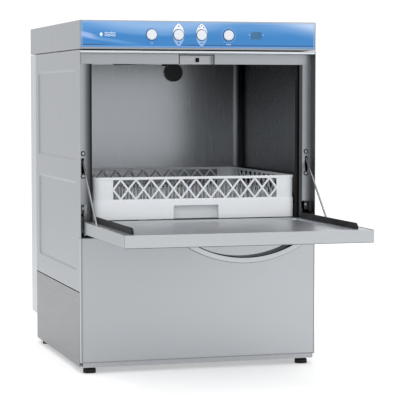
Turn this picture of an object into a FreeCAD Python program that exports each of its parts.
import FreeCAD, Part
import math
import os

# Undercounter commercial dishwasher for 500 mm racks, with a drop-down door, shown with the door open.
# Every sub-part is drawn with x from the machine's centre line, y back from its front plane and z up
# from the floor. save() then shifts it, so that the origin is on the floor at the middle of the space
# that the machine takes up with its door open. Lengths are in millimetres.

V = FreeCAD.Vector

# ---- driving dimensions ----
WIDTH = 575.0
DEPTH = 605.0
HEIGHT = 820.0
SHEET = 1.2
HALF = WIDTH / 2
INSIDE = HALF - SHEET

LID_LOW = 753.5
FASCIA_BORDER = 1.5
FASCIA_RECESS = 1.5
FRONT_PANEL_TOP = 318.0
FRONT_PANEL_WRAP = 15.0
SIDE_SPLIT = 190.0
SIDE_TOP = 751.5
BACK_STRIP = 536.0

PLINTH_LOW = 15.0
PLINTH_TOP = 60.0
SERVICE_TOP = 82.0
BASE_FLOOR = 28.0
BASE_HALF = 282.5
BASE_FRONT = 4.0
BASE_BACK = 560.0
FOOT_PLACES = ((-262.0, 28.0), (262.0, 28.0), (-262.0, 515.0), (262.0, 515.0))

JAMB_Y = 31.0
JAMB_INNER = 257.5
CHAMBER_HALF = 269.5
CHAMBER_FRONT = 44.0
CHAMBER_BACK = 534.0
CHAMBER_FLOOR = 320.0
CHAMBER_TOP = 749.0
CHAMBER_ROUND = 22.0
MOUTH_HALF = 250.5
MOUTH_TOP = 720.0
CENTRE_Y = 283.0

PIVOT_Y = 8.0
PIVOT_Z = 334.0
HINGE_R = 4.0
DOOR_HALF = 280.5
DOOR_FRONT = -394.0
DOOR_BACK = 20.0
DOOR_LOW = 326.5
DOOR_TOP = 355.0
PANEL_TOP = 354.0

ROD_X = 275.5
ROD_R = 2.25
ROD_PIN_Y = -124.5
ROD_PIN_Z = 345.0
ROD_LENGTH = 225.0
ROD_RISE = 43.7

RACK_SIDE = 497.0
RACK_HEIGHT = 100.0
RACK_LOW = 355.2
RACK_FRONT = 34.0
RACK_BAND = 46.0
RACK_CELLS = 11
RACK_CELL = 36.7
RACK_BAR = 4.2
RACK_RIM = 6.0
RACK_STEP = 1.5
RACK_WALL = 4.0
RACK_ROUND = 20.0
RACK_FLOOR = 5.0
GRIP_HALF = 55.5
GRIP_TOP = 32.0
GRIP_DEPTH = 13.0
GRIP_WALL = 3.0
GRID_CELLS = 14
PEG_PITCH = 34.0

BUTTON_X = (-117.5, -52.5, 3.5, 69.5)
BUTTON_NAMES = ("power_button", "short_cycle_button", "long_cycle_button", "start_button")
BUTTON_Z = 787.5
BUTTON_R = 12.0

PUMP_X = 110.0
PUMP_Z = 92.0
SUCTION_Y = 215.0
PIPE_R = 13.0
PIPE_Z = 173.0
RISER_Y = 565.0

TANK_HALF = 220.0
TANK_FRONT = 75.0
TANK_BACK = 495.0
TANK_LOW = 190.0

SERVICE_Z = 55.0
INLET_X = -200.0
DRAIN_X = 200.0
GLAND_X = 90.0
OUTSIDE_Y = BASE_BACK + 0.5
SERVICE_END = 603.0
GLAND_END = BASE_BACK + 16

PRESS_DEPTH = 2.5
PRESS_SLOPE = 5.0
PRESS_ROUND = 14.0

RAIL_LOW = 720.0
RAIL_HALF = 279.0
LIP_LOW = 744.0
LIP_TOP = 751.0
LATCH_HALF = 41.5
LATCH_TOP = 740.5

SLOT_LOW = 464.5
SLOT_TOP = 501.5
JAMB_SCREW_X = 274.5
JAMB_SCREW_Z = (459.5, 512.0)
CAVITY_TOP = 393.0

VENT_X = 81.5
VENT_Z = 707.0
SPRING_ANCHOR_Y = 470.0
SPRING_Z = 502.0

OVERFLOW_Y = 410.0
STRAINER_R = 45.0
STAVES = 8
FILTER_TOP = CHAMBER_FLOOR + 1.5

SPOUT_TOP = PUMP_Z + 66

BOILER_X = -150.0
BOILER_Z = 112.0
BOILER_BACK = 450.0

LOWER_COLLAR = 326.0
UPPER_COLLAR = 745.2
SPINDLE_R = 12.0
ARM_BORE = 12.08

HANDLE_Y = -331.0
HANDLE_HALF = 21.0

BRACKET_IN = 281.5
BRACKET_OUT = 284.5

VOLUTE_FRONT = 258.0
VOLUTE_BACK = 308.0
MOTOR_BACK = 470.0
RISER_TOP = 775.0
RINSE_TOP = 792.0
RINSE_INLET = 762.0
RINSE_X = -60.0
STAY_PIN_R = 3.0
GUIDE_OUTER = 257.0
GUIDE_INNER = 251.0
GUIDE_TOP = 367.0
RAIL_EDGE = 243.0
COVER_LOW = 77.0
WINDOW_LOW = 778.0
WINDOW_TOP = 796.0
WINDOW_LEFT = 125.5
WINDOW_RIGHT = 150.5


# ---- shape helpers ----
def box(x0, x1, y0, y1, z0, z1):
    return Part.makeBox(x1 - x0, y1 - y0, z1 - z0, V(x0, y0, z0))


def bar(radius, start, end):
    """A round bar between two points."""
    start, end = V(*start), V(*end)
    return Part.makeCylinder(radius, (end - start).Length, start, end - start)


def fuse(*shapes):
    return shapes[0].multiFuse(list(shapes[1:])).removeSplitter()


def cut(body, *tools):
    return body.cut(list(tools))


def mirrored(shape):
    return shape.mirror(V(0, 0, 0), V(1, 0, 0))


def pair(shape):
    """The same piece on the left and on the right."""
    return Part.makeCompound([shape, mirrored(shape)])


def pipe(points, radius, wall=None):
    """A pipe of straight runs with ball elbows, hollow when a wall is given."""
    def solid(r):
        runs = [bar(r, a, b) for a, b in zip(points, points[1:])]
        balls = [Part.makeSphere(r, V(*p)) for p in points[1:-1]]
        return fuse(*runs, *balls) if len(points) > 2 else runs[0]
    return cut(solid(radius), solid(radius - wall)) if wall else solid(radius)


def rounded(shape, radius, pick):
    """Round the edges whose middle point and direction satisfy pick."""
    chosen = []
    for edge in shape.Edges:
        middle = edge.valueAt((edge.FirstParameter + edge.LastParameter) / 2)
        along = edge.tangentAt((edge.FirstParameter + edge.LastParameter) / 2)
        if pick(middle, along):
            chosen.append(edge)
    return shape.makeFillet(radius, chosen)


def near(a, b):
    return abs(a - b) < 0.01


def rounded_rect(u0, u1, v0, v1, r, place):
    """A rounded rectangle whose points are put in space by place(u, v)."""
    corners = ((u1 - r, v1 - r, 0), (u0 + r, v1 - r, 90), (u0 + r, v0 + r, 180), (u1 - r, v0 + r, 270))

    def on_arc(cu, cv, degrees):
        turn = math.radians(degrees)
        return place(cu + r * math.cos(turn), cv + r * math.sin(turn))

    edges = []
    for i, (cu, cv, start) in enumerate(corners):
        first, middle, last = (on_arc(cu, cv, start + step) for step in (0, 45, 90))
        edges.append(Part.Arc(first, middle, last).toShape())
        nu, nv, next_start = corners[(i + 1) % 4]
        edges.append(Part.LineSegment(last, on_arc(nu, nv, next_start)).toShape())
    return Part.Wire(edges)


def plate(outline, holes, thickness):
    """A flat plate from an outline wire and a list of hole wires."""
    return Part.makeFace([outline] + holes, "Part::FaceMakerBullseye").extrude(thickness)


def polygon(points):
    return Part.makePolygon(points + points[:1])


def circle(centre, radius, axis):
    return Part.Wire([Part.makeCircle(radius, centre, axis)])


# ---- base and casing ----
def base_frame():
    """A pan whose floor and four folded walls meet edge to edge; the rear wall carries the fittings."""
    side = box(-BASE_HALF, -BASE_HALF + SHEET, BASE_FRONT + SHEET, BASE_BACK - SHEET, PLINTH_LOW, PLINTH_TOP)
    front = box(-BASE_HALF, BASE_HALF, BASE_FRONT, BASE_FRONT + SHEET, PLINTH_LOW, PLINTH_TOP)
    rear = box(-BASE_HALF, BASE_HALF, BASE_BACK - SHEET, BASE_BACK, PLINTH_LOW, SERVICE_TOP)
    floor = box(-BASE_HALF + SHEET, BASE_HALF - SHEET, BASE_FRONT + SHEET, BASE_BACK - SHEET,
                BASE_FLOOR - SHEET, BASE_FLOOR)
    foot_holes = [bar(6, (x, y, 0), (x, y, 40)) for x, y in FOOT_PLACES]
    fitting_holes = [bar(radius, (x, BASE_BACK - 10, SERVICE_Z), (x, BASE_BACK + 10, SERVICE_Z))
                     for x, radius in ((INLET_X, 13.0), (DRAIN_X, 12.2), (GLAND_X, 8.2))]
    return Part.makeCompound([side, mirrored(side), front, cut(rear, *fitting_holes), cut(floor, *foot_holes)])


def levelling_feet():
    feet = []
    for x, y in FOOT_PLACES:
        pad = bar(15, (x, y, 0), (x, y, 9))
        shoulder = Part.makeCone(15, 9, 6, V(x, y, 9))
        feet.append(fuse(pad, shoulder, bar(5.9, (x, y, 14), (x, y, 38))))
    return Part.makeCompound(feet)


def press_field(panel, y0, y1, z0, z1):
    """Push a rounded field of the left panel inwards, with sloping borders."""
    def wedge(x_start, x_end, inset):
        wires = []
        for x, shrink in ((x_start, 0), (x_end, inset)):
            wires.append(rounded_rect(y0 + shrink, y1 - shrink, z0 + shrink, z1 - shrink,
                                      PRESS_ROUND - shrink, lambda u, v, x=x: V(x, u, v)))
        return Part.makeLoft(wires, True, True)
    raised = wedge(-HALF + SHEET * 0.5, -HALF + SHEET + PRESS_DEPTH, PRESS_SLOPE - 1)
    hollow = wedge(-HALF, -HALF + PRESS_DEPTH, PRESS_SLOPE)
    return cut(fuse(panel, raised), hollow)


def side_panel_left():
    sheet = box(-HALF, -INSIDE, 0, BACK_STRIP - 0.5, SIDE_SPLIT + 1, SIDE_TOP)
    notch = box(-HALF - 1, -INSIDE + 1, -1, FRONT_PANEL_WRAP + 0.4, SIDE_SPLIT, FRONT_PANEL_TOP + 0.6)
    sheet = press_field(cut(sheet, notch), 45, 505, 495, 707)
    return press_field(sheet, 45, 500, 238, 446)


def side_panel_right():
    return mirrored(side_panel_left())


def lower_side_panel_left():
    return box(-HALF, -INSIDE, FRONT_PANEL_WRAP + 0.4, BACK_STRIP, PLINTH_LOW, SIDE_SPLIT - 1.5)


def lower_side_panel_right():
    return mirrored(lower_side_panel_left())


def rear_cover():
    low, high = COVER_LOW, SIDE_TOP
    shell = cut(
        box(-HALF, HALF, BACK_STRIP, DEPTH, low, high),
        box(-INSIDE, INSIDE, BACK_STRIP - 1, DEPTH - SHEET, low - 1, high + 1),
    )
    vents = [box(-120 + 20 * i, -110 + 20 * i, DEPTH - 5, DEPTH + 1, 600, 680) for i in range(13)]
    return cut(shell, *vents)


def top_cover():
    shell = box(-HALF, HALF, 0, DEPTH, LID_LOW, HEIGHT)
    shell = rounded(shell, 2.5, lambda p, t: near(p.z, HEIGHT) or (near(p.y, 0) and abs(t.z) > 0.9))
    front_wall = FASCIA_RECESS + SHEET
    hollow = box(-INSIDE, INSIDE, front_wall, DEPTH - SHEET, LID_LOW - 1, HEIGHT - SHEET)
    recess = box(-HALF + FASCIA_BORDER, HALF - FASCIA_BORDER, -1, FASCIA_RECESS, 756, 819)
    openings = [bar(13.5, (x, -1, BUTTON_Z), (x, 5, BUTTON_Z)) for x in BUTTON_X]
    openings.append(box(WINDOW_LEFT + 1, WINDOW_RIGHT - 1, -1, 5, WINDOW_LOW + 1, WINDOW_TOP - 1))
    return cut(shell, hollow, recess, *openings)


def control_fascia():
    def place(u, v):
        return V(u, FASCIA_RECESS - 1.2, v)
    outline = rounded_rect(-HALF + 1.8, HALF - 1.8, 756.3, 818.7, 2, place)
    holes = [circle(place(x, BUTTON_Z), BUTTON_R + 0.4, V(0, 1, 0)) for x in BUTTON_X]
    holes.append(rounded_rect(WINDOW_LEFT, WINDOW_RIGHT, WINDOW_LOW, WINDOW_TOP, 2, place))
    return plate(outline, holes, V(0, 1.2, 0))


def display_window():
    outline = rounded_rect(WINDOW_LEFT + 0.3, WINDOW_RIGHT - 0.3, WINDOW_LOW + 0.3, WINDOW_TOP - 0.3, 1.8,
                           lambda u, v: V(u, 0.2, v))
    return plate(outline, [], V(0, 1.3, 0))


def control_board():
    board = box(-150, 180, 30, 31.6, 762, 812)
    display = box(WINDOW_LEFT + 1.5, WINDOW_RIGHT - 1.5, 3.5, 30, WINDOW_LOW + 1.5, WINDOW_TOP - 1.5)
    chips = [box(x, x + 14, 31.6, 34, 780, 794) for x in (-90, -20, 40, 110)]
    return fuse(board, display, *chips)


def button_bezels():
    return Part.makeCompound([
        cut(bar(14.6, (x, 2.7, BUTTON_Z), (x, 10, BUTTON_Z)), bar(12.15, (x, 0, BUTTON_Z), (x, 11, BUTTON_Z)))
        for x in BUTTON_X
    ])


def button_switches():
    switches = []
    for x in BUTTON_X:
        body = box(x - 8, x + 8, 18, 30, BUTTON_Z - 8, BUTTON_Z + 8)
        switches.append(cut(body, bar(4.6, (x, 17, BUTTON_Z), (x, 26, BUTTON_Z))))
    return Part.makeCompound(switches)


def push_button(x):
    """A domed cap on a stem, held behind its bezel by a collar."""
    cap = bar(BUTTON_R, (x, -4, BUTTON_Z), (x, 10.1, BUTTON_Z))
    cap = rounded(cap, 2.2, lambda p, t: near(p.y, -4))
    collar = bar(14, (x, 10.1, BUTTON_Z), (x, 11.6, BUTTON_Z))
    return fuse(cap, collar, bar(4.2, (x, 11.6, BUTTON_Z), (x, 20, BUTTON_Z)))


def lower_front_panel():
    outer = box(-HALF, HALF, 0, FRONT_PANEL_WRAP, 26, FRONT_PANEL_TOP)
    outer = rounded(outer, 3, lambda p, t: near(p.y, 0) and abs(t.z) > 0.9)
    outer = rounded(outer, 2.5, lambda p, t: near(p.y, 0) and near(p.z, FRONT_PANEL_TOP))
    inner = box(-INSIDE, INSIDE, SHEET, FRONT_PANEL_WRAP + 1, 25, FRONT_PANEL_TOP - SHEET)
    return cut(outer, inner)


# ---- front frame ----
def top_rail():
    radius = (LIP_TOP - LIP_LOW) / 2
    nose = bar(radius, (-INSIDE, radius, LIP_LOW + radius), (INSIDE, radius, LIP_LOW + radius))
    upper = box(-INSIDE, INSIDE, radius, CHAMBER_FRONT - 0.5, LIP_TOP - SHEET, LIP_TOP)
    lower = box(-INSIDE, INSIDE, radius, JAMB_Y + SHEET, LIP_LOW, LIP_LOW + SHEET)
    face = box(-RAIL_HALF, RAIL_HALF, JAMB_Y - SHEET, JAMB_Y + SHEET, RAIL_LOW, LIP_LOW + SHEET)
    foot = box(-MOUTH_HALF, MOUTH_HALF, JAMB_Y - SHEET, CHAMBER_FRONT - 0.3, RAIL_LOW, RAIL_LOW + SHEET)
    recess = box(-LATCH_HALF, LATCH_HALF, JAMB_Y - 5, CHAMBER_FRONT, RAIL_LOW - 1, LATCH_TOP)
    return cut(fuse(nose, upper, lower, face, foot), recess)


def door_latch():
    """The latch cup set in the top rail, and its black catch."""
    outer = box(-LATCH_HALF + 0.2, LATCH_HALF - 0.2, JAMB_Y, CHAMBER_FRONT - 1, RAIL_LOW + 0.2, LATCH_TOP - 0.2)
    inner = box(-LATCH_HALF + 1.4, LATCH_HALF - 1.4, JAMB_Y - 1, CHAMBER_FRONT - 3, RAIL_LOW - 1, LATCH_TOP - 1.4)
    return cut(outer, inner, box(1, 8, JAMB_Y, CHAMBER_FRONT, 725, 735))


def latch_catch():
    return rounded(box(1.1, 7.9, JAMB_Y + 4, CHAMBER_FRONT - 1, 725.1, 734.9), 1, lambda p, t: near(p.y, JAMB_Y + 4))


def jamb_left():
    face = box(-INSIDE, -JAMB_INNER, JAMB_Y, JAMB_Y + SHEET, CHAMBER_FLOOR, RAIL_LOW - 0.2)
    face = rounded(face, 0.8, lambda p, t: near(p.x, -JAMB_INNER) and near(p.y, JAMB_Y))
    inward = box(-JAMB_INNER - SHEET, -JAMB_INNER, JAMB_Y + 1, CHAMBER_FRONT, CHAMBER_FLOOR, RAIL_LOW - 0.2)
    cavity = box(-285, -JAMB_INNER - 2.2, JAMB_Y - 1, JAMB_Y + 2, 0, CAVITY_TOP)
    slot = box(-ROD_X - 3.6, -ROD_X + 3.6, JAMB_Y - 1, JAMB_Y + 2, SLOT_LOW, SLOT_TOP)
    slot = rounded(slot, 3.4, lambda p, t: abs(t.y) > 0.9)
    screw_holes = [bar(2, (-JAMB_SCREW_X, JAMB_Y - 1, z), (-JAMB_SCREW_X, JAMB_Y + 2, z)) for z in JAMB_SCREW_Z]
    return cut(fuse(face, inward), cavity, slot, *screw_holes)


def jamb_right():
    return mirrored(jamb_left())


def jamb_screws():
    """Button-head screws with a cross cut, two in each jamb and one in each hinge bracket."""
    screws = []
    places = [(JAMB_SCREW_X, JAMB_Y, z, 1.9) for z in JAMB_SCREW_Z] + [(JAMB_SCREW_X, JAMB_Y + 2, 384.0, 1.9)]
    for x, y, z, shank in places:
        head = rounded(bar(4, (-x, y - 2.2, z), (-x, y, z)), 1.2, lambda p, t, y=y: near(p.y, y - 2.2))
        cross = [box(-x - 2.4, -x + 2.4, y - 3, y - 1.4, z - 0.4, z + 0.4),
                 box(-x - 0.4, -x + 0.4, y - 3, y - 1.4, z - 2.4, z + 2.4)]
        screws.append(cut(fuse(head, bar(shank, (-x, y, z), (-x, y + 8, z))), *cross))
    return pair(Part.makeCompound(screws))


def door_seals():
    strip = box(-JAMB_INNER + 0.1, -MOUTH_HALF, CHAMBER_FRONT - 2, CHAMBER_FRONT, CHAMBER_FLOOR + 1, MOUTH_TOP - 0.2)
    return pair(rounded(strip, 0.9, lambda p, t: near(p.y, CHAMBER_FRONT - 2) and abs(t.z) > 0.9))


# ---- wash chamber and tank ----
def wash_chamber():
    wall = 1.0
    outer = box(-CHAMBER_HALF - wall, CHAMBER_HALF + wall, CHAMBER_FRONT, CHAMBER_BACK + wall,
                CHAMBER_FLOOR - SHEET, CHAMBER_TOP + wall)
    inner = box(-CHAMBER_HALF, CHAMBER_HALF, CHAMBER_FRONT + wall, CHAMBER_BACK, CHAMBER_FLOOR, CHAMBER_TOP)

    def back_corner(y):
        return lambda p, t: near(p.y, y) and (abs(t.z) > 0.9 or p.z > CHAMBER_TOP - 1)

    outer = rounded(outer, CHAMBER_ROUND + wall, back_corner(CHAMBER_BACK + wall))
    inner = rounded(inner, CHAMBER_ROUND, back_corner(CHAMBER_BACK))
    mouth = box(-MOUTH_HALF, MOUTH_HALF, CHAMBER_FRONT - 1, CHAMBER_FRONT + 2, CHAMBER_FLOOR, MOUTH_TOP)
    well = box(-TANK_HALF + SHEET, TANK_HALF - SHEET, TANK_FRONT + SHEET, TANK_BACK - SHEET,
               CHAMBER_FLOOR - 5, CHAMBER_FLOOR + 5)
    sill = box(-JAMB_INNER, JAMB_INNER, JAMB_Y + SHEET, CHAMBER_FRONT, CHAMBER_FLOOR - SHEET, CHAMBER_FLOOR)
    spindle_hole = bar(12.2, (0, CENTRE_Y, CHAMBER_TOP - 5), (0, CENTRE_Y, CHAMBER_TOP + 5))
    vent_hole = bar(14, (VENT_X, CHAMBER_BACK - 5, VENT_Z), (VENT_X, CHAMBER_BACK + 5, VENT_Z))
    anchors = [bar(2, (s * (CHAMBER_HALF + 0.5), SPRING_ANCHOR_Y, SPRING_Z),
                   (s * 280.5, SPRING_ANCHOR_Y, SPRING_Z)) for s in (-1, 1)]
    shell = fuse(cut(outer, inner, mouth, well, spindle_hole, vent_hole), sill, *anchors)
    return in_walls(shell, wall)


def in_walls(shell, wall):
    """The chamber's shell as flat walls and rounded corner strips that meet face to face."""
    far = 1000.0
    side, back, roof = (CHAMBER_HALF - CHAMBER_ROUND, CHAMBER_BACK - CHAMBER_ROUND, CHAMBER_TOP - CHAMBER_ROUND)
    front = CHAMBER_FRONT + wall
    well_half, well_front, well_back = TANK_HALF - SHEET, TANK_FRONT + SHEET, TANK_BACK - SHEET
    regions = [
        box(-side, side, back, far, CHAMBER_FLOOR, roof),
        box(-side, side, back, far, roof, far),
        box(-CHAMBER_HALF, CHAMBER_HALF, front, back, roof, far),
        box(-MOUTH_HALF, MOUTH_HALF, 0, front, MOUTH_TOP, far),
        box(-far, far, 0, well_front, 0, CHAMBER_FLOOR),
        box(-far, far, well_back, far, 0, CHAMBER_FLOOR),
    ]
    for near_x, far_x in ((-far, -side), (side, far)):
        regions.append(box(near_x, far_x, back, far, CHAMBER_FLOOR, far))
    for near_x, far_x in ((-far, -CHAMBER_HALF), (CHAMBER_HALF, far)):
        regions.append(box(near_x, far_x, front, back, CHAMBER_FLOOR, far))
    for near_x, far_x in ((-far, -MOUTH_HALF), (MOUTH_HALF, far)):
        regions.append(box(near_x, far_x, 0, front, CHAMBER_FLOOR, far))
    for near_x, far_x in ((-far, -well_half), (well_half, far)):
        regions.append(box(near_x, far_x, well_front, well_back, 0, CHAMBER_FLOOR))
    return Part.makeCompound([shell.common(region).Solids[0] for region in regions])


def vent_cap():
    cap = bar(24, (VENT_X, CHAMBER_BACK - 11, VENT_Z), (VENT_X, CHAMBER_BACK - 0.5, VENT_Z))
    cap = rounded(cap, 1.5, lambda p, t: near(p.y, CHAMBER_BACK - 11))
    seat = bar(18, (VENT_X, CHAMBER_BACK - 0.5, VENT_Z), (VENT_X, CHAMBER_BACK, VENT_Z))
    slots = [box(VENT_X + dx - 1, VENT_X + dx + 1, CHAMBER_BACK - 12, CHAMBER_BACK - 9.8, VENT_Z - 4, VENT_Z + 4)
             for dx in (-6, 6)]
    return cut(fuse(cap, seat, bar(13.8, (VENT_X, CHAMBER_BACK, VENT_Z), (VENT_X, CHAMBER_BACK + 12, VENT_Z))), *slots)


def rack_rails():
    top, back = RACK_LOW - 0.2, CHAMBER_BACK - CHAMBER_ROUND
    shelf = box(-CHAMBER_HALF, -RAIL_EDGE, CHAMBER_FRONT + 4, back, top - 1.5, top)
    upstand = box(-CHAMBER_HALF, -CHAMBER_HALF + 1.5, CHAMBER_FRONT + 4, back, top - 1.5, top + 28.2)
    lip = box(-RAIL_EDGE - 1.5, -RAIL_EDGE, CHAMBER_FRONT + 4, back, top - 9, top)
    return pair(fuse(shelf, upstand, lip))


def wash_tank():
    rim = 10.0
    top = CHAMBER_FLOOR - SHEET
    outer = box(-TANK_HALF, TANK_HALF, TANK_FRONT, TANK_BACK, TANK_LOW, top)
    outer = rounded(outer, 12, lambda p, t: p.z < top - 1)
    inner = box(-TANK_HALF + SHEET, TANK_HALF - SHEET, TANK_FRONT + SHEET, TANK_BACK - SHEET,
                TANK_LOW + SHEET, top + 1)
    inner = rounded(inner, 10.8, lambda p, t: p.z < top)
    flange = box(-TANK_HALF - rim, TANK_HALF + rim, TANK_FRONT - rim, TANK_BACK + rim, top - SHEET, top)
    holes = [bar(PIPE_R, (0, CENTRE_Y, TANK_LOW - 5), (0, CENTRE_Y, TANK_LOW + 5)),
             bar(15, (PUMP_X, SUCTION_Y, TANK_LOW - 5), (PUMP_X, SUCTION_Y, TANK_LOW + 5)),
             bar(12, (PUMP_X, OVERFLOW_Y, TANK_LOW - 5), (PUMP_X, OVERFLOW_Y, TANK_LOW + 5))]
    return cut(fuse(outer, flange), inner, *holes)


def surface_filters():
    """Two perforated trays over the tank, the right one as quarters that meet across the strainer's well."""
    def place(u, v):
        return V(u, v, CHAMBER_FLOOR + 0.1)
    x_far, x_near = TANK_HALF + 6, 2.0
    columns, rows, slot = 7, 14, 20.0
    trays = []
    for side in (-1, 1):
        low, high = sorted((side * x_near, side * x_far))
        holes = []
        for i in range(columns):
            for j in range(rows):
                cx = side * (28 + i * 28.5)
                cy = TANK_FRONT + 18 + j * 29.5
                clear_of_spindle = math.hypot(cx, cy - CENTRE_Y) > 45
                clear_of_wells = side < 0 or min(math.hypot(cx - PUMP_X, cy - y) for y in (SUCTION_Y, OVERFLOW_Y)) > 66
                if clear_of_spindle and clear_of_wells:
                    holes.append(rounded_rect(cx - slot / 2, cx + slot / 2, cy - 5, cy + 5, 4.5, place))
        tray = plate(rounded_rect(low, high, TANK_FRONT - 6, TANK_BACK + 6, 4, place), holes, V(0, 0, 1.4))
        tray = cut(tray, bar(24, (0, CENTRE_Y, 300), (0, CENTRE_Y, 330)))
        if side < 0:
            trays.append(tray)
            continue
        tray = cut(tray, bar(STRAINER_R + 1, (PUMP_X, SUCTION_Y, 300), (PUMP_X, SUCTION_Y, 330)),
                   bar(17, (PUMP_X, OVERFLOW_Y, 300), (PUMP_X, OVERFLOW_Y, 330)))
        for x0, x1 in ((0, PUMP_X), (PUMP_X, HALF)):
            for y0, y1 in ((0, SUCTION_Y), (SUCTION_Y, DEPTH)):
                trays.append(tray.common(box(x0, x1, y0, y1, 300, 340)).Solids[0])
    return Part.makeCompound(trays)


def sump_strainer():
    """A lift-out basket over the pump's suction."""
    low, high = TANK_LOW + 12, FILTER_TOP
    tube = cut(bar(STRAINER_R, (PUMP_X, SUCTION_Y, low), (PUMP_X, SUCTION_Y, high)),
               bar(STRAINER_R - 1, (PUMP_X, SUCTION_Y, low - 1), (PUMP_X, SUCTION_Y, high + 1)))
    base = bar(STRAINER_R - 1, (PUMP_X, SUCTION_Y, low), (PUMP_X, SUCTION_Y, low + 1))
    rim = cut(bar(STRAINER_R + 6, (PUMP_X, SUCTION_Y, high), (PUMP_X, SUCTION_Y, high + 1.5)),
              bar(STRAINER_R - 1, (PUMP_X, SUCTION_Y, high - 1), (PUMP_X, SUCTION_Y, high + 2)))
    slots = []
    for k in range(STAVES):
        blade = box(-60, 60, -2, 2, low + 10, high - 15)
        blade.rotate(V(0, 0, 0), V(0, 0, 1), 180 / STAVES * (k + 0.5))
        blade.translate(V(PUMP_X, SUCTION_Y, 0))
        slots.append(blade)
    reach = STRAINER_R - 0.5
    handle = bar(2, (PUMP_X - reach, SUCTION_Y, high - 30), (PUMP_X + reach, SUCTION_Y, high - 30))
    basket = cut(fuse(cut(tube, *slots), rim), handle)
    staves = []
    for k in range(STAVES):
        wedge = Part.makeCylinder(STRAINER_R + 10, high, V(0, 0, 0), V(0, 0, 1), 360 / STAVES)
        wedge.translate(V(0, 0, low - 1))
        wedge.rotate(V(0, 0, 0), V(0, 0, 1), 360 / STAVES * (k + 0.25))
        wedge.translate(V(PUMP_X, SUCTION_Y, 0))
        staves.append(basket.common(wedge).Solids[0])
    return Part.makeCompound(staves + [base, handle])


def overflow_pipe():
    tube = cut(bar(11.8, (PUMP_X, OVERFLOW_Y, TANK_LOW - 4), (PUMP_X, OVERFLOW_Y, 306)),
               bar(9.5, (PUMP_X, OVERFLOW_Y, TANK_LOW - 5), (PUMP_X, OVERFLOW_Y, 307)))
    grip = bar(3, (PUMP_X - 10.5, OVERFLOW_Y, 300), (PUMP_X + 10.5, OVERFLOW_Y, 300))
    return fuse(tube, grip)


def tank_heater():
    z = TANK_LOW + 24
    left, right, front, back = -185.0, -60.0, TANK_FRONT + SHEET, 455.0
    return pipe([(left, front, z), (left, back, z), (right, back, z), (right, front, z)], 4.2)


# ---- water circuit ----
def pump_volute():
    y0, y1 = VOLUTE_FRONT, VOLUTE_BACK
    case = bar(62, (PUMP_X, y0, PUMP_Z), (PUMP_X, y1, PUMP_Z))
    case = rounded(case, 6, lambda p, t: True)
    spout = bar(PIPE_R + 2, (PUMP_X, CENTRE_Y, PUMP_Z + 50), (PUMP_X, CENTRE_Y, SPOUT_TOP))
    hollow = bar(54, (PUMP_X, y0 + 4, PUMP_Z), (PUMP_X, y1 - 4, PUMP_Z))
    eye = bar(14, (PUMP_X, y0 - 1, PUMP_Z), (PUMP_X, y0 + 5, PUMP_Z))
    shaft_hole = bar(6, (PUMP_X, y1 - 5, PUMP_Z), (PUMP_X, y1 + 1, PUMP_Z))
    outlet = bar(PIPE_R - 1.5, (PUMP_X, CENTRE_Y, PUMP_Z + 40), (PUMP_X, CENTRE_Y, SPOUT_TOP + 1))
    return cut(fuse(case, spout), hollow, eye, shaft_hole, outlet)


def pump_impeller():
    disc = bar(45, (PUMP_X, 290, PUMP_Z), (PUMP_X, 294, PUMP_Z))
    shaft = bar(5, (PUMP_X, 288, PUMP_Z), (PUMP_X, 330, PUMP_Z))
    vanes = []
    for k in range(6):
        vane = box(8, 43, -1.5, 1.5, 0, 14)
        vane.rotate(V(8, 0, 0), V(0, 0, 1), 25)
        vane.rotate(V(0, 0, 0), V(0, 0, 1), 60 * k)
        vane.rotate(V(0, 0, 0), V(1, 0, 0), 90)
        vane.translate(V(PUMP_X, 290.5, PUMP_Z))
        vanes.append(vane)
    hub = bar(11, (PUMP_X, 280, PUMP_Z), (PUMP_X, 290, PUMP_Z))
    return fuse(disc, shaft, hub, *vanes)


def pump_motor():
    y0, y1 = VOLUTE_BACK + 1, MOTOR_BACK
    body = rounded(bar(52, (PUMP_X, y0, PUMP_Z), (PUMP_X, y1, PUMP_Z)), 5, lambda p, t: True)
    foot = box(PUMP_X - 40, PUMP_X + 40, 340, 440, BASE_FLOOR, PUMP_Z - 35)
    shaft_bore = bar(5.06, (PUMP_X, y0 - 1, PUMP_Z), (PUMP_X, 334, PUMP_Z))
    fins = [cut(bar(55, (PUMP_X, y, PUMP_Z), (PUMP_X, y + 3, PUMP_Z)), bar(50, (PUMP_X, y - 1, PUMP_Z),
                (PUMP_X, y + 4, PUMP_Z))) for y in range(330, 450, 12)]
    return cut(fuse(body, foot, *fins), shaft_bore)


def suction_pipe():
    return pipe([(PUMP_X, SUCTION_Y, TANK_LOW), (PUMP_X, SUCTION_Y, PUMP_Z), (PUMP_X, VOLUTE_FRONT, PUMP_Z)], 16, 2)


def wash_riser():
    """From the pump to the lower spindle, up behind the chamber and over it to the upper spindle."""
    run = [(PUMP_X, CENTRE_Y, SPOUT_TOP), (PUMP_X, CENTRE_Y, PIPE_Z), (0, CENTRE_Y, PIPE_Z), (0, RISER_Y, PIPE_Z),
           (0, RISER_Y, RISER_TOP), (0, CENTRE_Y, RISER_TOP), (0, CENTRE_Y, CHAMBER_TOP + 1)]
    return pipe(run, PIPE_R, 2)


def rinse_pipe():
    x, rise_y = RINSE_X, RISER_Y - 5
    run = [(BOILER_X, BOILER_BACK, BOILER_Z), (BOILER_X, rise_y, BOILER_Z), (x, rise_y, BOILER_Z),
           (x, rise_y, RINSE_TOP), (x, CENTRE_Y, RINSE_TOP), (x, CENTRE_Y, RINSE_INLET),
           (-PIPE_R - 0.5, CENTRE_Y, RINSE_INLET)]
    return pipe(run, 6, 1)


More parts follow.
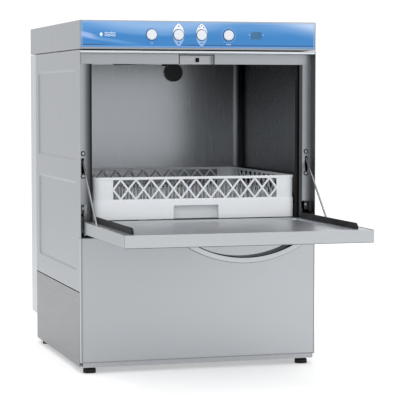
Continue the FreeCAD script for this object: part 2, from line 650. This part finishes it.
def boiler():
    shell = rounded(bar(66, (BOILER_X, 195, BOILER_Z), (BOILER_X, BOILER_BACK, BOILER_Z)), 14, lambda p, t: True)
    cradle = [box(BOILER_X - 45, BOILER_X + 45, y, y + 3, BASE_FLOOR, BOILER_Z - 40) for y in (240, 400)]
    return fuse(shell, *cradle)


def inlet_valve():
    """A solenoid valve whose neck passes the base's rear wall to a threaded spout."""
    x, z, front, rear = INLET_X, SERVICE_Z, BASE_BACK - 48, BASE_BACK - 10
    body = box(x - 18, x + 18, front, rear, BASE_FLOOR + 0.2, z + 16)
    coil = bar(14, (x, (front + rear) / 2, z + 16), (x, (front + rear) / 2, z + 44))
    neck = bar(12.8, (x, rear, z), (x, OUTSIDE_Y, z))
    spout = bar(13.2, (x, OUTSIDE_Y, z), (x, OUTSIDE_Y + 20, z))
    return cut(fuse(body, coil, neck, spout), bar(9, (x, rear - 10, z), (x, OUTSIDE_Y + 21, z)))


def drain_connector():
    x, z, start, turn = DRAIN_X, SERVICE_Z, OVERFLOW_Y + 75, BASE_BACK - 20
    elbow = pipe([(PUMP_X, start, z), (x, start, z), (x, turn, z)], 12, 2)
    neck = bar(12, (x, turn, z), (x, OUTSIDE_Y, z))
    spigot = bar(12.5, (x, OUTSIDE_Y, z), (x, SERVICE_END, z))
    return fuse(elbow, cut(fuse(neck, spigot), bar(10, (x, turn - 1, z), (x, SERVICE_END + 1, z))))


def cable_gland():
    x, z = GLAND_X, SERVICE_Z
    corners = [(x + 13 * math.cos(math.radians(60 * k)), z + 13 * math.sin(math.radians(60 * k))) for k in range(6)]
    nut = Part.Face(polygon([V(u, BASE_BACK + 0.1, v) for u, v in corners])).extrude(V(0, 5, 0))
    dome = rounded(bar(10.5, (x, BASE_BACK + 5, z), (x, GLAND_END, z)), 3, lambda p, t: near(p.y, GLAND_END))
    thread = bar(8, (x, BASE_BACK - 8, z), (x, BASE_BACK + 1, z))
    return cut(fuse(nut, dome, thread), bar(5, (x, BASE_BACK - 9, z), (x, GLAND_END + 1, z)))


def rinse_aid_dispenser():
    case = rounded(box(-262, -214, 60, 118, BASE_FLOOR, 112), 4, lambda p, t: abs(t.z) > 0.9)
    head = bar(17, (-238, 89, 112), (-238, 89, 128))
    ports = [bar(3, (-238 + dx, 89, 128), (-238 + dx, 89, 140)) for dx in (-9, 9)]
    return fuse(case, head, *ports)


# ---- spray arms ----
def lower_spindle():
    post = bar(SPINDLE_R, (0, CENTRE_Y, TANK_LOW - 3.8), (0, CENTRE_Y, 350))
    collar = bar(19, (0, CENTRE_Y, CHAMBER_FLOOR + 1.8), (0, CENTRE_Y, LOWER_COLLAR))
    bore = bar(9, (0, CENTRE_Y, TANK_LOW - 5), (0, CENTRE_Y, 345))
    return cut(fuse(post, collar), bore)


def upper_spindle():
    post = bar(SPINDLE_R, (0, CENTRE_Y, 724.2), (0, CENTRE_Y, CHAMBER_TOP + 1))
    collar = bar(19, (0, CENTRE_Y, UPPER_COLLAR), (0, CENTRE_Y, CHAMBER_TOP))
    return cut(fuse(post, collar), bar(9, (0, CENTRE_Y, 729), (0, CENTRE_Y, CHAMBER_TOP + 2)))


def arm_caps():
    """The caps that keep the arms on their spindles."""
    low = rounded(bar(17, (0, CENTRE_Y, 350), (0, CENTRE_Y, 354)), 1.5, lambda p, t: near(p.z, 354))
    high = rounded(bar(17, (0, CENTRE_Y, 720.2), (0, CENTRE_Y, 724.2)), 1.5, lambda p, t: near(p.z, 720.2))
    return Part.makeCompound([low, high])


def spray_arm(low, high, reach, root, tip, hub, turn, spray_up):
    """A flat arm, wide at its hub and narrow at its round ends, with a row of nozzles each side."""
    outline = []
    for side in (1, -1):
        start, end = V(root * -side, 0, low), V(tip * -side, side * (reach - tip), low)
        crown, back = V(0, side * reach, low), V(tip * side, side * (reach - tip), low)
        outline += [Part.LineSegment(start, end).toShape(), Part.Arc(end, crown, back).toShape(),
                    Part.LineSegment(back, V(root * side, 0, low)).toShape()]
    blade = Part.Face(Part.Wire(outline)).extrude(V(0, 0, high - low))
    blade = rounded(blade, (high - low) * 0.3, lambda p, t: near(p.z, low) or near(p.z, high))
    arm = fuse(blade, bar(hub, (0, 0, low - 0.2), (0, 0, high + 0.2)))
    face = high if spray_up else low
    nozzles = []
    for side in (-1, 1):
        for k in range(5):
            y = side * (hub + 20 + k * (reach - hub - 40) / 4)
            nozzles.append(box(-tip * 0.5, tip * 0.5, y - 1.2, y + 1.2, face - 1.5, face + 1.5))
    arm = cut(arm, bar(ARM_BORE, (0, 0, low - 2), (0, 0, high + 2)), *nozzles)
    arm.rotate(V(0, 0, 0), V(0, 0, 1), turn)
    arm.translate(V(0, CENTRE_Y, 0))
    return arm


def lower_wash_arm():
    return spray_arm(326.6, 338.6, 235, 20, 13, 23, 62, True)


def lower_rinse_arm():
    return spray_arm(339.8, 349.4, 205, 9, 6, 19, -35, True)


def upper_wash_arm():
    return spray_arm(734.0, 744.8, 235, 20, 13, 23, -58, False)


def upper_rinse_arm():
    return spray_arm(724.8, 733.2, 205, 9, 6, 19, 28, False)


# ---- door ----
def door_outer_skin():
    outer = box(-DOOR_HALF, DOOR_HALF, DOOR_FRONT, DOOR_BACK, DOOR_LOW, DOOR_TOP)
    outer = rounded(outer, 4, lambda p, t: near(p.y, DOOR_FRONT) and abs(t.z) > 0.9)
    outer = rounded(outer, 2.5, lambda p, t: near(p.z, DOOR_LOW) and p.y < DOOR_BACK - 1)
    inner = box(-DOOR_HALF + SHEET, DOOR_HALF - SHEET, DOOR_FRONT + SHEET, DOOR_BACK - SHEET,
                DOOR_LOW + SHEET, DOOR_TOP + 1)
    pins = [bar(HINGE_R, (s * 270, PIVOT_Y, PIVOT_Z), (s * 290, PIVOT_Y, PIVOT_Z)) for s in (-1, 1)]
    stay_pins = [bar(STAY_PIN_R, (s * 270, ROD_PIN_Y, ROD_PIN_Z), (s * 280.4, ROD_PIN_Y, ROD_PIN_Z)) for s in (-1, 1)]
    rear_edge = box(-DOOR_HALF, DOOR_HALF, DOOR_BACK - SHEET, DOOR_BACK, PANEL_TOP - SHEET, DOOR_TOP)
    return fuse(cut(outer, inner, rear_edge, *pins), *stay_pins)


def door_inner_panel():
    """The inner skin, with a shallow bed for the rack and a slot over each stay rod."""
    edge = DOOR_HALF - SHEET - 0.2
    front, back = DOOR_FRONT + SHEET + 0.2, DOOR_BACK - SHEET - 0.2
    sheet = box(-edge, edge, front, back, PANEL_TOP - SHEET, PANEL_TOP)
    bed = box(-240, 240, front + 28, back - 22, PANEL_TOP - 3.5 - SHEET, PANEL_TOP - SHEET + 0.1)
    bed = rounded(bed, 12, lambda p, t: abs(t.z) > 0.9)
    dish = rounded(box(-240 + SHEET, 240 - SHEET, front + 28 + SHEET, back - 22 - SHEET,
                       PANEL_TOP - 3.5, PANEL_TOP + 1), 11, lambda p, t: abs(t.z) > 0.9)
    slots = [box(s * ROD_X - 4.1, s * ROD_X + 3.7 if s > 0 else s * ROD_X + 4.1, ROD_PIN_Y - 7, ROD_PIN_Y + 24,
                 PANEL_TOP - 5, PANEL_TOP + 1) for s in (-1, 1)]
    return cut(fuse(sheet, bed), dish, *slots)


def arch(half_chord, sag, y0, y1):
    """A shallow round segment that hangs from the door's underside."""
    ends = [V(s * half_chord, y0, DOOR_LOW) for s in (-1, 1)]
    bow = Part.Arc(ends[0], V(0, y0, DOOR_LOW - sag), ends[1]).toShape()
    lid = Part.LineSegment(ends[1], ends[0]).toShape()
    return Part.Face(Part.Wire([bow, lid])).extrude(V(0, y1 - y0, 0))


def door_handle():
    y0, y1 = HANDLE_Y - HANDLE_HALF, HANDLE_Y + HANDLE_HALF
    bow = cut(arch(136.5, 41, y0, y1), arch(111, 27.5, y0 - 1, y1 + 1))
    return rounded(bow, 2.2, lambda p, t: (near(p.y, y0) or near(p.y, y1)) and p.z < DOOR_LOW - 6)


def door_guides():
    """Black plastic strips that keep the rack straight on the door."""
    front, back = DOOR_FRONT + 38, DOOR_BACK - 24
    strip = box(-GUIDE_OUTER, -GUIDE_INNER, front, back, PANEL_TOP, GUIDE_TOP)
    start, above = -GUIDE_OUTER - 1, GUIDE_TOP + 0.5
    slope = polygon([V(start, front - 1, above), V(start, front - 1, GUIDE_TOP - 8), V(start, front + 9, above)])
    return pair(cut(strip, Part.Face(slope).extrude(V(GUIDE_OUTER - GUIDE_INNER + 2, 0, 0))))


def hinge_brackets():
    plate_y0, plate_y1 = PIVOT_Y - 7, 44.0
    ear = fuse(box(-BRACKET_OUT, -BRACKET_IN, plate_y0, JAMB_Y + 4, PIVOT_Z, 368),
               bar(PIVOT_Y - plate_y0, (-BRACKET_OUT, PIVOT_Y, PIVOT_Z), (-BRACKET_IN, PIVOT_Y, PIVOT_Z)),
               box(-BRACKET_OUT, -BRACKET_IN, PIVOT_Y, plate_y1, PIVOT_Z - 7, PIVOT_Z + 30),
               box(-BRACKET_OUT, -BRACKET_IN, JAMB_Y + 2, plate_y1, PIVOT_Z, 392))
    ear = rounded(ear, 12, lambda p, t: abs(t.x) > 0.9 and near(p.y, plate_y0) and near(p.z, 368))
    foot = box(-BRACKET_IN, -CHAMBER_HALF - 2, JAMB_Y + 2, JAMB_Y + 4, 372, 392)
    hole = bar(HINGE_R + 0.05, (-290, PIVOT_Y, PIVOT_Z), (-270, PIVOT_Y, PIVOT_Z))
    screw = bar(2, (-JAMB_SCREW_X, JAMB_Y, 384), (-JAMB_SCREW_X, JAMB_Y + 6, 384))
    return pair(cut(fuse(ear, foot), hole, screw))


def hinge_pins():
    pin = bar(HINGE_R, (-BRACKET_OUT - 0.3, PIVOT_Y, PIVOT_Z), (-273, PIVOT_Y, PIVOT_Z))
    return pair(fuse(pin, bar(6, (-DOOR_HALF + SHEET, PIVOT_Y, PIVOT_Z), (-275, PIVOT_Y, PIVOT_Z))))


def stay_rod(side):
    """A wire rod with an eye on the door's pin, rising through the jamb's slot to its spring."""
    rise = math.radians(ROD_RISE)
    start = V(side * ROD_X, ROD_PIN_Y, ROD_PIN_Z)
    end = start + V(0, math.cos(rise), math.sin(rise)) * ROD_LENGTH
    eye = bar(5, (start.x - 2.3, start.y, start.z), (start.x + 2.3, start.y, start.z))
    shank = bar(ROD_R, tuple(start), tuple(end))
    tip = Part.makeSphere(ROD_R, end)
    hole = bar(STAY_PIN_R + 0.06, (start.x - 6, start.y, start.z), (start.x + 6, start.y, start.z))
    return cut(fuse(eye, shank, tip), hole)


def stay_rods():
    return Part.makeCompound([stay_rod(-1), stay_rod(1)])


def door_springs():
    """Long tension springs beside the chamber, drawn as closed tubes with a hook at the rear."""
    front = 46.0
    coil = cut(bar(3.6, (-ROD_X, front, SPRING_Z), (-ROD_X, SPRING_ANCHOR_Y - 8, SPRING_Z)),
               bar(2.4, (-ROD_X, front - 1, SPRING_Z), (-ROD_X, SPRING_ANCHOR_Y - 7, SPRING_Z)))
    hook = Part.makeTorus(4, 1, V(-ROD_X, SPRING_ANCHOR_Y - 0.8, SPRING_Z), V(1, 0, 0))
    neck = bar(2.8, (-ROD_X, SPRING_ANCHOR_Y - 9, SPRING_Z), (-ROD_X, SPRING_ANCHOR_Y - 4.4, SPRING_Z))
    return pair(fuse(coil, neck, hook))


# ---- rack ----
def lattice_holes(low, high):
    """The diamonds and triangles left open between crossed bars."""
    width, height = RACK_CELL, high - low
    slant = math.hypot(width, height)
    side_gap, end_gap = RACK_BAR / 2 * slant / height, RACK_BAR / 2 * slant / width
    reach, middle = width / 2 - side_gap, (low + high) / 2
    left = -width * RACK_CELLS / 2
    holes = []
    for i in range(RACK_CELLS):
        x = left + (i + 0.5) * width
        holes.append([(x - reach, middle), (x, low + end_gap), (x + reach, middle), (x, high - end_gap)])
    for i in range(RACK_CELLS + 1):
        x = left + i * width
        x0, x1 = max(x - reach, left), min(x + reach, -left)
        for edge, tip in ((low, middle - end_gap), (high, middle + end_gap)):
            holes.append([(x0, edge), (x1, edge), (x, tip)])
    return holes


def rack_side():
    """One straight side between the corners: a set-back lattice over a band with a finger grip."""
    half, y = RACK_SIDE / 2 - RACK_ROUND, -RACK_SIDE / 2
    outline = polygon([V(-half, y, 0), V(half, y, 0), V(half, y, RACK_HEIGHT), V(-half, y, RACK_HEIGHT)])
    holes = [polygon([V(u, y, v) for u, v in points]) for points in lattice_holes(RACK_BAND + 2, RACK_HEIGHT - RACK_RIM)]
    set_back = box(-half, half, y, y + RACK_STEP, RACK_BAND, RACK_HEIGHT - RACK_RIM)
    grip = box(-GRIP_HALF, GRIP_HALF, y - 1, y + RACK_WALL + 1, -GRIP_TOP, GRIP_TOP)
    grip = rounded(grip, 4, lambda p, t: near(p.z, GRIP_TOP) and abs(t.y) > 0.9)
    return cut(plate(outline, holes, V(0, RACK_WALL, 0)), set_back, grip)


def rack_grip():
    """The pocket behind a side's finger hole."""
    front = -RACK_SIDE / 2 + RACK_WALL
    return cut(box(-GRIP_HALF - GRIP_WALL, GRIP_HALF + GRIP_WALL, front, front + GRIP_DEPTH + GRIP_WALL, RACK_FLOOR,
                   GRIP_TOP + GRIP_WALL),
               box(-GRIP_HALF, GRIP_HALF, front - 1, front + GRIP_DEPTH, RACK_FLOOR - 1, GRIP_TOP))


def rack_corner():
    """A quarter-round wall from one side to the next."""
    centre = V(RACK_SIDE / 2 - RACK_ROUND, -RACK_SIDE / 2 + RACK_ROUND, 0)
    outer = Part.makeCylinder(RACK_ROUND, RACK_HEIGHT, centre, V(0, 0, 1), 90)
    inner = Part.makeCylinder(RACK_ROUND - RACK_WALL, RACK_HEIGHT, centre, V(0, 0, 1), 90)
    middle = V(centre.x, centre.y, RACK_BAND)
    set_back = cut(Part.makeCylinder(RACK_ROUND + 1, RACK_HEIGHT - RACK_RIM - RACK_BAND, middle),
                   Part.makeCylinder(RACK_ROUND - RACK_STEP, RACK_HEIGHT, middle))
    corner = cut(outer, inner, set_back)
    corner.rotate(centre, V(0, 0, 1), -90)
    return corner


def square(cx, cy, half):
    return polygon([V(cx + a * half, cy + b * half, 0) for a, b in ((-1, -1), (1, -1), (1, 1), (-1, 1))])


def rack_floor():
    """An open grid, with a notch under each grip."""
    edge, round_edge = RACK_SIDE / 2 - RACK_WALL, RACK_ROUND - RACK_WALL
    cell_half = (PEG_PITCH - 3.6) / 2
    centres = [(-(GRID_CELLS - 1) / 2 + i) * PEG_PITCH for i in range(GRID_CELLS)]
    holes = [square(cx, cy, cell_half) for cx in centres for cy in centres
             if max(abs(cx), abs(cy)) < 205 or min(abs(cx), abs(cy)) > 75]
    rim = rounded_rect(-edge, edge, -edge, edge, round_edge, lambda u, v: V(u, v, 0))
    floor = plate(rim, holes, V(0, 0, RACK_FLOOR))
    notch = box(-GRIP_HALF, GRIP_HALF, -edge - 1, -edge + GRIP_DEPTH, -1, RACK_FLOOR + 1)
    for _ in range(4):
        floor = cut(floor, notch)
        notch.rotate(V(0, 0, 0), V(0, 0, 1), 90)
    return floor


def rack():
    """One moulding, drawn as walls, corners, grips, floor and pegs that meet face to face."""
    quarters = []
    for quarter in range(4):
        for piece in (rack_side(), rack_corner(), rack_grip()):
            piece.rotate(V(0, 0, 0), V(0, 0, 1), 90 * quarter)
            quarters.append(piece)
    pegs = [Part.makeCone(3.0, 1.7, 61, V(i * 2 * PEG_PITCH, j * PEG_PITCH, RACK_FLOOR))
            for i in range(-3, 4) for j in range(-6, 7)]
    whole = Part.makeCompound([*quarters, rack_floor(), *pegs])
    whole.translate(V(0, RACK_FRONT + RACK_SIDE / 2, RACK_LOW))
    return whole


# ---- export ----
FRONT_Y = -(DEPTH + DOOR_FRONT) / 2


def save(name, shape):
    placed = shape.copy()
    placed.translate(V(0, FRONT_Y, 0))
    placed.exportStep(f"parts/{name}.step")


SUB_PARTS = (
    base_frame, levelling_feet, side_panel_left, side_panel_right, lower_side_panel_left, lower_side_panel_right,
    rear_cover, top_cover, control_fascia, display_window, control_board, button_bezels, button_switches,
    lower_front_panel, top_rail, door_latch, latch_catch, jamb_left, jamb_right, jamb_screws, door_seals,
    wash_chamber, vent_cap, rack_rails, wash_tank, surface_filters, sump_strainer, overflow_pipe, tank_heater,
    pump_volute, pump_impeller, pump_motor, suction_pipe, wash_riser, rinse_pipe, boiler, inlet_valve,
    drain_connector, cable_gland, rinse_aid_dispenser, lower_spindle, upper_spindle, arm_caps,
    lower_wash_arm, lower_rinse_arm, upper_wash_arm, upper_rinse_arm, door_outer_skin, door_inner_panel,
    door_handle, door_guides, hinge_brackets, hinge_pins, stay_rods, door_springs, rack,
)

os.makedirs("parts", exist_ok=True)
for sub_part in SUB_PARTS:
    save(sub_part.__name__, sub_part())
for name, x in zip(BUTTON_NAMES, BUTTON_X):
    save(name, push_button(x))
